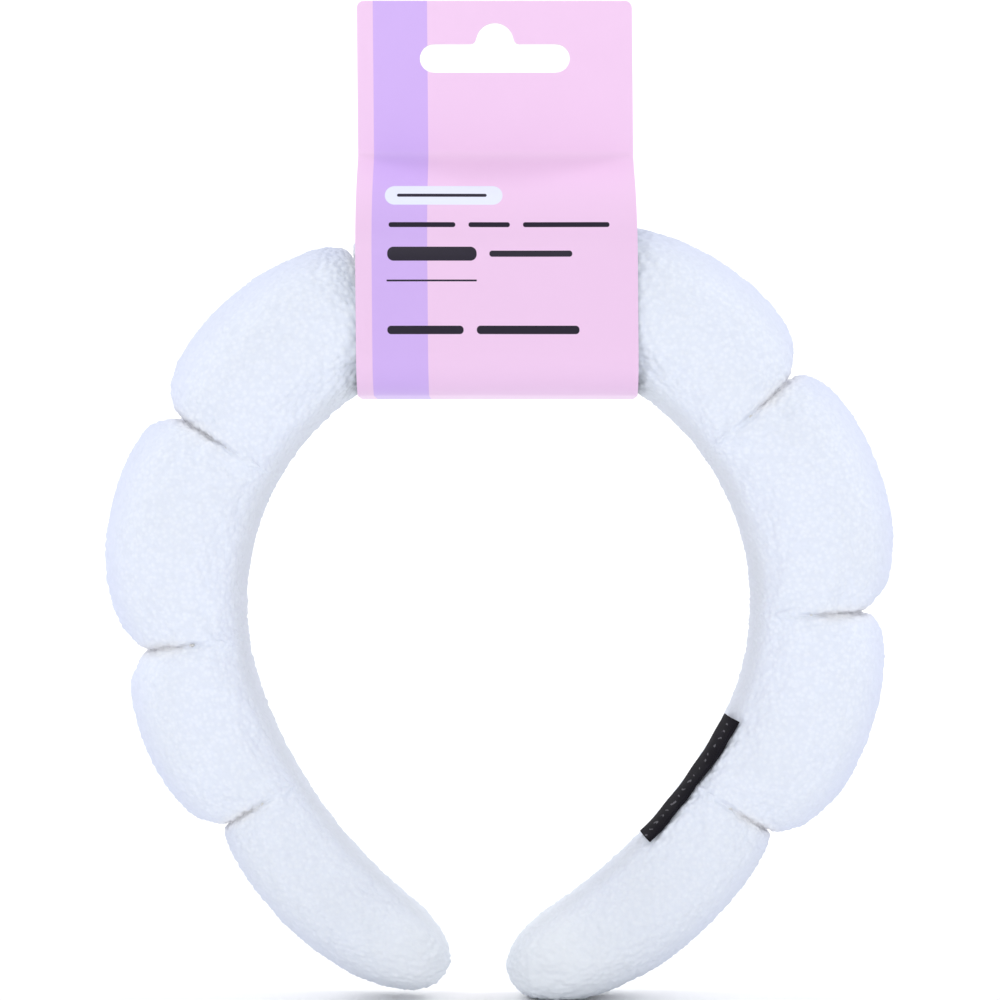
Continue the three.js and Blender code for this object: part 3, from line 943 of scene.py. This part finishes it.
def cardProfile():  # half the folded sheet from the top of the front panel to the middle below
    half, neck = -card["halfDepth"], -card["board"] / 2 - card["glueLine"]
    easeOut, easeIn = card["glue"] - card["glueEase"], card["shoulder"] + card["shoulderEase"]
    low, radius = card["fold"], card["foldRadius"]
    path = [np.array([(neck, card["top"]), (neck, card["glue"])])]
    path.append(bezier((neck, card["glue"]), (neck - 1.3, easeOut), (half, easeIn),
                       (half, card["shoulder"]), 60)[1:])
    angles = np.linspace(math.pi, 1.5 * math.pi, 30)
    path.append(np.stack([half + radius + radius * np.cos(angles),
                          low + radius + radius * np.sin(angles)], axis=1))
    path.append(np.array([(0.0, low)]))
    return np.concatenate(path)


def foldCard():
    profile = cardProfile()
    back = profile[::-1][1:] * (-1, 1)
    path = np.concatenate([profile, back])
    gaps = np.linalg.norm(np.diff(path, axis=0), axis=1)
    along = np.concatenate([[0], np.cumsum(gaps)])
    length = along[-1]
    print("card sheet: %.1f by %.1f mm" % (card["width"], length))
    deselectAll()
    bpy.ops.mesh.primitive_grid_add(x_subdivisions=card["acrossFaces"], y_subdivisions=card["alongFaces"],
                                    size=1, location=(0, 0, 0))
    sheet = bpy.context.object
    sheet.name = "card_folded"
    flat = pointsOf(sheet)
    at = (0.5 - flat[:, 1]) * length
    y = np.interp(at, along, path[:, 0])
    z = np.interp(at, along, path[:, 1])
    x = flat[:, 0] * card["width"]
    loose = smoothStep(card["glue"] + 2, card["glue"] - 14, z)  # free between the glue and the fold
    loose *= smoothStep(card["fold"], card["fold"] + 14, z)
    wave = np.sin(x * 0.16 + z * 0.05) * 0.6 + np.sin(x * 0.07 - z * 0.11 + 1.3) * 0.5
    y = y + np.sign(y) * card["ripple"] * wave * loose
    x = x + leanAt(z)
    movePoints(sheet, np.stack([(cardX + x) * mm, y * mm, (hoopZ + z) * mm], axis=1))
    return sheet


def leanAt(z):
    return -card["lean"] * (z - card["fold"])


def punchSlot(sheet):
    mid = card["top"] - card["slotBelow"] - card["slotHeight"] / 2
    end = card["slotHeight"] / 2
    reach = card["slotWidth"] / 2 - end
    outline = []
    for a in np.linspace(-90, 90, 13):
        outline.append((reach + end * math.cos(math.radians(a)), end * math.sin(math.radians(a))))
    bump, fillet = card["bumpRadius"], card["bumpFillet"]
    for a in np.linspace(270, 195, 5):
        outline.append((bump + fillet + fillet * math.cos(math.radians(a)),
                        end + fillet + fillet * math.sin(math.radians(a))))
    for a in np.linspace(12, 168, 21):
        outline.append((bump * math.cos(math.radians(a)),
                        end + card["bumpRise"] + bump * math.sin(math.radians(a))))
    for a in np.linspace(-15, -90, 5):
        outline.append((-bump - fillet + fillet * math.cos(math.radians(a)),
                        end + fillet + fillet * math.sin(math.radians(a))))
    for a in np.linspace(90, 270, 13):
        outline.append((-reach + end * math.cos(math.radians(a)), end * math.sin(math.radians(a))))
    cutters = [[(cardX + leanAt(mid) + px, hoopZ + mid + pz) for px, pz in outline]]
    radius = card["cornerRadius"]
    for sign in (-1, 1):
        edge = cardX + leanAt(card["top"]) + sign * card["width"] / 2
        top = hoopZ + card["top"]
        corner = [(edge - sign * radius, top + 1), (edge - sign * radius, top)]
        for a in np.linspace(80, 10, 6):
            corner.append((edge - sign * radius + sign * radius * math.cos(math.radians(a)),
                           top - radius + radius * math.sin(math.radians(a))))
        corner += [(edge, top - radius), (edge + sign, top - radius), (edge + sign, top + 1)]
        cutters.append(corner)
    for outline in cutters:
        deselectAll()
        bpy.ops.mesh.primitive_circle_add(vertices=len(outline), radius=0.01, fill_type="NGON")
        cutter = bpy.context.object
        movePoints(cutter, np.array([(px * mm, -0.005, pz * mm) for px, pz in outline]))
        bpy.ops.object.mode_set(mode="EDIT")
        bpy.ops.mesh.select_all(action="SELECT")
        bpy.ops.mesh.extrude_region_move(TRANSFORM_OT_translate={"value": (0, 0.01, 0)})
        bpy.ops.mesh.select_all(action="SELECT")
        bpy.ops.mesh.normals_make_consistent(inside=False)
        bpy.ops.object.mode_set(mode="OBJECT")
        cutter.data.materials.append(boardEdge)
        cut = sheet.modifiers.new("punch", "BOOLEAN")
        cut.operation = "DIFFERENCE"
        cut.solver = "EXACT"
        cut.material_mode = "TRANSFER"
        cut.object = cutter
        finishModifiers(sheet)
        bpy.data.objects.remove(cutter)


printed = {  # the design on the front, in mm from the card's middle and up from the floor
    "stripe": (-26.5, -14.7),
    "pill": (-11.2, 173.9, 12.6, 2.2, 2.15),
    "pillLine": (-11.6, 173.9, 9.6, 0.36, 0.34),
    "bars": [  # middle x, height, half width, half height
        (-15.8, 167.2, 7.1, 0.55), (-1.5, 167.2, 4.4, 0.55), (14.9, 167.2, 9.2, 0.55),
        (-13.7, 160.9, 9.5, 1.5), (7.3, 160.9, 8.8, 0.66),
        (-13.8, 155.2, 9.6, 0.2),
        (-15.2, 144.7, 8.1, 0.9), (6.6, 144.7, 10.9, 0.9),
    ],
    "pink": (0.875, 0.605, 0.87),
    "lilac": (0.50, 0.355, 0.93),
    # painted shade: how much darker the print is below the glue line
    "shadeBelowGlue": 0.925,
    "pillColour": (0.76, 0.80, 0.94),
    "ink": (0.012, 0.008, 0.022),
}


def cardMaterial():
    look, nodes, links, shader, where = startMaterial(
        "printedBoard", 0.45, Specular_IOR_Level=0.22, Coat_Weight=0.06, Coat_Roughness=0.3)
    upright = nodes.new("ShaderNodeVectorMath")  # the print leans with the card
    upright.operation = "DOT_PRODUCT"
    links.new(where, upright.inputs[0])
    upright.inputs[1].default_value = (1, 0, card["lean"])
    parts = nodes.new("ShaderNodeSeparateXYZ")
    links.new(where, parts.inputs[0])
    placed = nodes.new("ShaderNodeCombineXYZ")
    links.new(mathNode(nodes, links, "SUBTRACT", upright.outputs["Value"],
                       card["lean"] * (hoopZ + card["fold"]) * mm), placed.inputs[0])
    links.new(parts.outputs["Y"], placed.inputs[1])
    links.new(parts.outputs["Z"], placed.inputs[2])
    front = rampNode(nodes, links, parts.outputs["Y"], 0.0, -0.0001, smooth=False)
    tone = noiseNode(nodes, links, where, 90, 3)
    pink = mixNode(nodes, links, tone, printed["pink"], tuple(c * 0.975 for c in printed["pink"]))
    lilac = mixNode(nodes, links, tone, printed["lilac"], tuple(c * 0.97 for c in printed["lilac"]))
    below = rampNode(nodes, links, parts.outputs["Z"], (hoopZ + card["glue"]) * mm,
                     (hoopZ + card["glue"] - 14) * mm)  # painted shade: the print painted darker below the glue line, round the band
    pink = mixNode(nodes, links, below, pink, tuple(c * printed["shadeBelowGlue"] for c in printed["pink"]))
    lilac = mixNode(nodes, links, below, lilac, tuple(c * printed["shadeBelowGlue"] for c in printed["lilac"]))
    middle = (printed["stripe"][0] + printed["stripe"][1]) / 2
    half = (printed["stripe"][1] - printed["stripe"][0]) / 2

    def bar(x, z, halfWidth, halfHeight, corner):
        return placeGroup(nodes, links, printedBar, Position=placed.outputs[0], Centre_X=(cardX + x) * mm,
                          Centre_Z=z * mm, Half_Width=halfWidth * mm, Half_Height=halfHeight * mm,
                          Corner=corner * mm).outputs["Mask"]

    colour = mixNode(nodes, links, bar(middle, 150, half, 200, 0.01), pink, lilac)
    pill = mathNode(nodes, links, "MULTIPLY", bar(*printed["pill"]), front)
    colour = mixNode(nodes, links, pill, colour, printed["pillColour"])
    ink = bar(*printed["pillLine"])
    for x, z, halfWidth, halfHeight in printed["bars"]:
        ink = mathNode(nodes, links, "MAXIMUM", ink, bar(x, z, halfWidth, halfHeight, halfHeight * 0.9))
    colour = mixNode(nodes, links, mathNode(nodes, links, "MULTIPLY", ink, front), colour, printed["ink"])
    links.new(colour, shader.inputs["Base Color"])
    fibres = noiseNode(nodes, links, where, 2600, 4, 0.6)
    addBump(nodes, links, shader, fibres, 0.00002, 0.5)
    rough = mathNode(nodes, links, "MULTIPLY_ADD", tone, 0.12, 0.32)
    links.new(rough, shader.inputs["Roughness"])
    return look


def boardMaterial(name, colour):
    look, nodes, links, shader, where = startMaterial(name, 0.85, Specular_IOR_Level=0.3)
    fibres = noiseNode(nodes, links, where, 1500, 5, 0.7)
    links.new(mixNode(nodes, links, fibres, colour, tuple(c * 0.86 for c in colour)),
              shader.inputs["Base Color"])
    addBump(nodes, links, shader, fibres, 0.00004, 0.6)
    return look


boardInside = boardMaterial("boardInside", card["insideColour"])
boardEdge = boardMaterial("boardEdge", card["edgeColour"])
sheet = foldCard()
for look in (cardMaterial(), boardInside, boardEdge):
    sheet.data.materials.append(look)
outwards = sum(p.normal.y * p.center.y for p in sheet.data.polygons if abs(p.center.y) > 0.01)
if outwards < 0:
    pick(sheet)
    bpy.ops.object.mode_set(mode="EDIT")
    bpy.ops.mesh.select_all(action="SELECT")
    bpy.ops.mesh.flip_normals()
    bpy.ops.object.mode_set(mode="OBJECT")
wall = sheet.modifiers.new("board", "SOLIDIFY")
wall.thickness = card["board"] * mm
wall.offset = 0
wall.material_offset = 1
wall.material_offset_rim = 2
finishModifiers(sheet)
punchSlot(sheet)
pick(sheet)
bpy.ops.object.shade_smooth_by_angle(angle=math.radians(35))
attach(sheet, "card")
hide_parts("header_card")
print("card folded and punched")


# foam and core inside the cover keep their shape and get their finish

filling = {
    "foamDark": (0.80, 0.76, 0.62), "foamPale": (0.93, 0.90, 0.80), "squeeze": 1.8,
    "coreDark": (0.74, 0.77, 0.79), "corePale": (0.80, 0.82, 0.84),
}


def foamMaterial():
    look, nodes, links, shader, where = startMaterial("openFoam", 0.95)
    cells = nodes.new("ShaderNodeTexVoronoi")
    cells.inputs["Scale"].default_value = 1400
    links.new(where, cells.inputs["Vector"])
    colour = mixNode(nodes, links, cells.outputs["Distance"], filling["foamDark"], filling["foamPale"])
    links.new(colour, shader.inputs["Base Color"])
    addBump(nodes, links, shader, cells.outputs["Distance"], 0.0002)
    return look


def coreMaterial():
    look, nodes, links, shader, where = startMaterial("coreStrip", 0.35)
    flow = noiseNode(nodes, links, where, 120, 2)
    links.new(mixNode(nodes, links, flow, filling["coreDark"], filling["corePale"]),
              shader.inputs["Base Color"])
    addBump(nodes, links, shader, noiseNode(nodes, links, where, 900, 2), 0.00003)
    return look


def squeezeIn(node):  # foam held in by the tight cover
    pick(node)
    bpy.ops.object.modifier_add(type="WELD")
    node.modifiers[-1].merge_threshold = 0.00001
    bpy.ops.object.modifier_add(type="DISPLACE")
    node.modifiers[-1].mid_level = 0
    node.modifiers[-1].strength = -filling["squeeze"] * mm


foamLook, coreLook = foamMaterial(), coreMaterial()
for name, node in frame["nodes"].items():
    if name.startswith(("foam", "core")):
        node.data.materials.clear()
        node.data.materials.append(foamLook if name.startswith("foam") else coreLook)
    if name.startswith("foam"):
        squeezeIn(node)
print("foam and core finished")


# studio: pale floor running up behind, soft light all round, camera straight on

studio = {
    "cameraAway": 0.8, "cameraHeight": 0.1086, "lens": 132,
    "floorWidth": 20, "floorFront": 12, "wallBehind": 1.7, "wallHeight": 2.6, "bend": 0.8,
    "floorColour": (0.93, 0.93, 0.935),
    "key": {"place": (-0.35, -1.5, 0.85), "energy": 5.0, "size": 0.9, "target": (0, 0, 0.1)},
    "fill": {"place": (0.9, -1.45, 0.8), "energy": 2.0, "size": 0.8, "target": (0, 0, 0.1)},
    "wallLeft": {"place": (-1.4, 0.5, 1.7), "energy": 15, "size": 0.9, "target": (-0.3, 1.6, 0.35)},
    "wallRight": {"place": (1.4, 0.5, 1.7), "energy": 15, "size": 0.9, "target": (0.3, 1.6, 0.35)},
    "world": 0.74,
}


def sweepFloor():
    deselectAll()
    bpy.ops.mesh.primitive_plane_add(size=1, location=(0, 0, 0))
    floor = bpy.context.object
    floor.name = "studio_floor"
    wide, front, behind = studio["floorWidth"] / 2, studio["floorFront"], studio["wallBehind"]
    movePoints(floor, np.array([(x, y, 0) for y in (-front, behind) for x in (-wide, wide)]))
    bpy.ops.object.mode_set(mode="EDIT")
    bpy.ops.mesh.select_all(action="DESELECT")
    bpy.ops.object.mode_set(mode="OBJECT")
    for edge in floor.data.edges:
        edge.select = all(floor.data.vertices[v].co.y > 0.1 for v in edge.vertices)
    bpy.ops.object.mode_set(mode="EDIT")
    bpy.ops.mesh.select_mode(type="EDGE")
    bpy.ops.mesh.extrude_region_move(TRANSFORM_OT_translate={"value": (0, 0, studio["wallHeight"])})
    bpy.ops.object.mode_set(mode="OBJECT")
    sweep = floor.modifiers.new("sweep", "BEVEL")
    sweep.width = studio["bend"]
    sweep.segments = 16
    finishModifiers(floor)
    bpy.ops.object.shade_smooth()
    look, nodes, links, shader, where = startMaterial("paleFloor", 0.9, Specular_IOR_Level=0.1)
    shader.inputs["Base Color"].default_value = (*studio["floorColour"], 1)
    floor.data.materials.append(look)


def softLight(name):
    values = studio[name]
    deselectAll()
    bpy.ops.object.light_add(type="AREA", location=values["place"])
    light = bpy.context.object
    light.name = name + "Softbox"
    light.data.energy = values["energy"]
    light.data.size = values["size"]
    aim = Vector(values["target"]) - Vector(values["place"])
    light.rotation_euler = aim.to_track_quat("-Z", "Y").to_euler()


sweepFloor()
for name in ("key", "fill", "wallLeft", "wallRight"):  # the last two light the sweep behind
    softLight(name)
world = bpy.data.worlds.new("softWorld")
bpy.context.scene.world = world
world.use_nodes = True
world.node_tree.nodes["Background"].inputs[0].default_value = (1, 1, 1, 1)
world.node_tree.nodes["Background"].inputs[1].default_value = studio["world"]

deselectAll()
bpy.ops.object.camera_add(location=(0, -studio["cameraAway"], studio["cameraHeight"]),
                          rotation=(math.pi / 2, 0, 0))
camera = bpy.context.object
camera.data.lens = studio["lens"]
camera.data.sensor_width = 36
bpy.context.scene.camera = camera
print("studio set")

bpy.context.scene.view_settings.view_transform = "Standard"
deselectAll()
